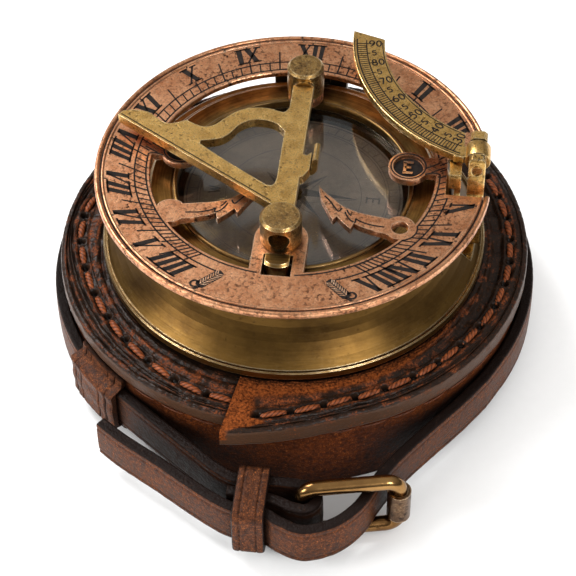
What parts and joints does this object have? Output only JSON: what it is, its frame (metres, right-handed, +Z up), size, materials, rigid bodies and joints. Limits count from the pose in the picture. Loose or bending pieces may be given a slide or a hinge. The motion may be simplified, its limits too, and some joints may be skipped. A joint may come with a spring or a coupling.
{
  "type": "sundial compass",
  "caption": "Folding inclining sundial over a card compass, hinged hour ring, flip-up gnomon and latitude arc, seated in a round stitched leather case with a buckled strap.",
  "frame": {"origin": "centre of the case's flat bottom, on the table", "axes": "+Z up; +Y north, to the XII mark and the ring's hinge; +X east, to the latitude arc"},
  "size_m": [0.1266, 0.152, 0.0614],
  "materials": {
    "leather": "brown leather, burnished nearly black with rust-brown rub-through",
    "strap_leather": "brown strap leather with black edges and waxy sheen",
    "felt": "black felt over board",
    "thread": "waxed rust-brown twisted thread",
    "buckle_bronze": "antique bronze wire and tube, satin",
    "brass": "lacquered dark gold brass, brushed in circles",
    "antique_brass": "speckled antique brass with worn bright edges",
    "copper": "orange-pink copper with dark mottled patina and black-filled engraving",
    "dark_bronze": "nearly black bronze",
    "steel": "plain steel",
    "glass": "clear flat glass",
    "card": "brownish printed card",
    "dark_paint": "dull dark lining"
  },
  "bodies": {
    "case": {"case_floor": "leather", "case_wall": "leather", "case_pad": "felt", "rim_left": "leather", "rim_right": "leather", "rim_thread": "thread", "belt_loops": "leather", "strap": "strap_leather", "keeper": "strap_leather", "buckle_frame": "buckle_bronze"},
    "roller": {"buckle_roller": "buckle_bronze"},
    "compass": {"base_dish": "brass", "bezel_ring": "brass", "window_glass": "glass", "glass_retainer": "brass", "card_liner": "dark_paint", "pivot_pin": "steel", "front_catch": "brass", "hinge_block": "dark_bronze", "hinge_pin": "brass", "hinge_screws": "brass", "arc_bracket": "antique_brass", "arc_fold_pin": "antique_brass", "bracket_screws": "brass"},
    "card": {"compass_card": "card", "card_cap": "brass", "card_magnet": "steel"},
    "dial": {"chapter_ring": "copper", "ring_knuckle": "dark_bronze", "front_post": "antique_brass", "rear_post": "antique_brass", "post_screws": "brass"},
    "gnomon": {"gnomon_plate": "antique_brass", "gnomon_pivots": "antique_brass"},
    "arc": {"latitude_arc": "antique_brass"}
  },
  "joints": [
    {"name": "compass_lift", "type": "slide", "parent": "case", "child": "compass", "axis": [0, 0, 1], "range_m": [0, 0.06]},
    {"name": "card_turn", "type": "hinge", "parent": "compass", "child": "card", "pos_m": [0, 0, 0.041], "axis": [0, 0, 1], "continuous": true},
    {"name": "arc_fold", "type": "hinge", "parent": "compass", "child": "arc", "pos_m": [0.046, 0.0026, 0.0582], "axis": [0, 1, 0], "range_deg": [0, 90]},
    {"name": "ring_tilt", "type": "hinge", "parent": "compass", "child": "dial", "pos_m": [0, 0.0445, 0.0462], "axis": [-1, 0, 0], "range_deg": [0, 30]},
    {"name": "gnomon_flip", "type": "hinge", "parent": "dial", "child": "gnomon", "pos_m": [0, 0, 0.056], "axis": [0, 1, 0], "range_deg": [0, 90]},
    {"name": "roller_turn", "type": "hinge", "parent": "case", "child": "roller", "pos_m": [0.0335, -0.0705, 0.011], "axis": [0, 0, 1], "continuous": true}
  ],
  "couplings": [
    {"joint": "ring_tilt", "follows": "arc_fold", "ratio": 0.33333}
  ]
}
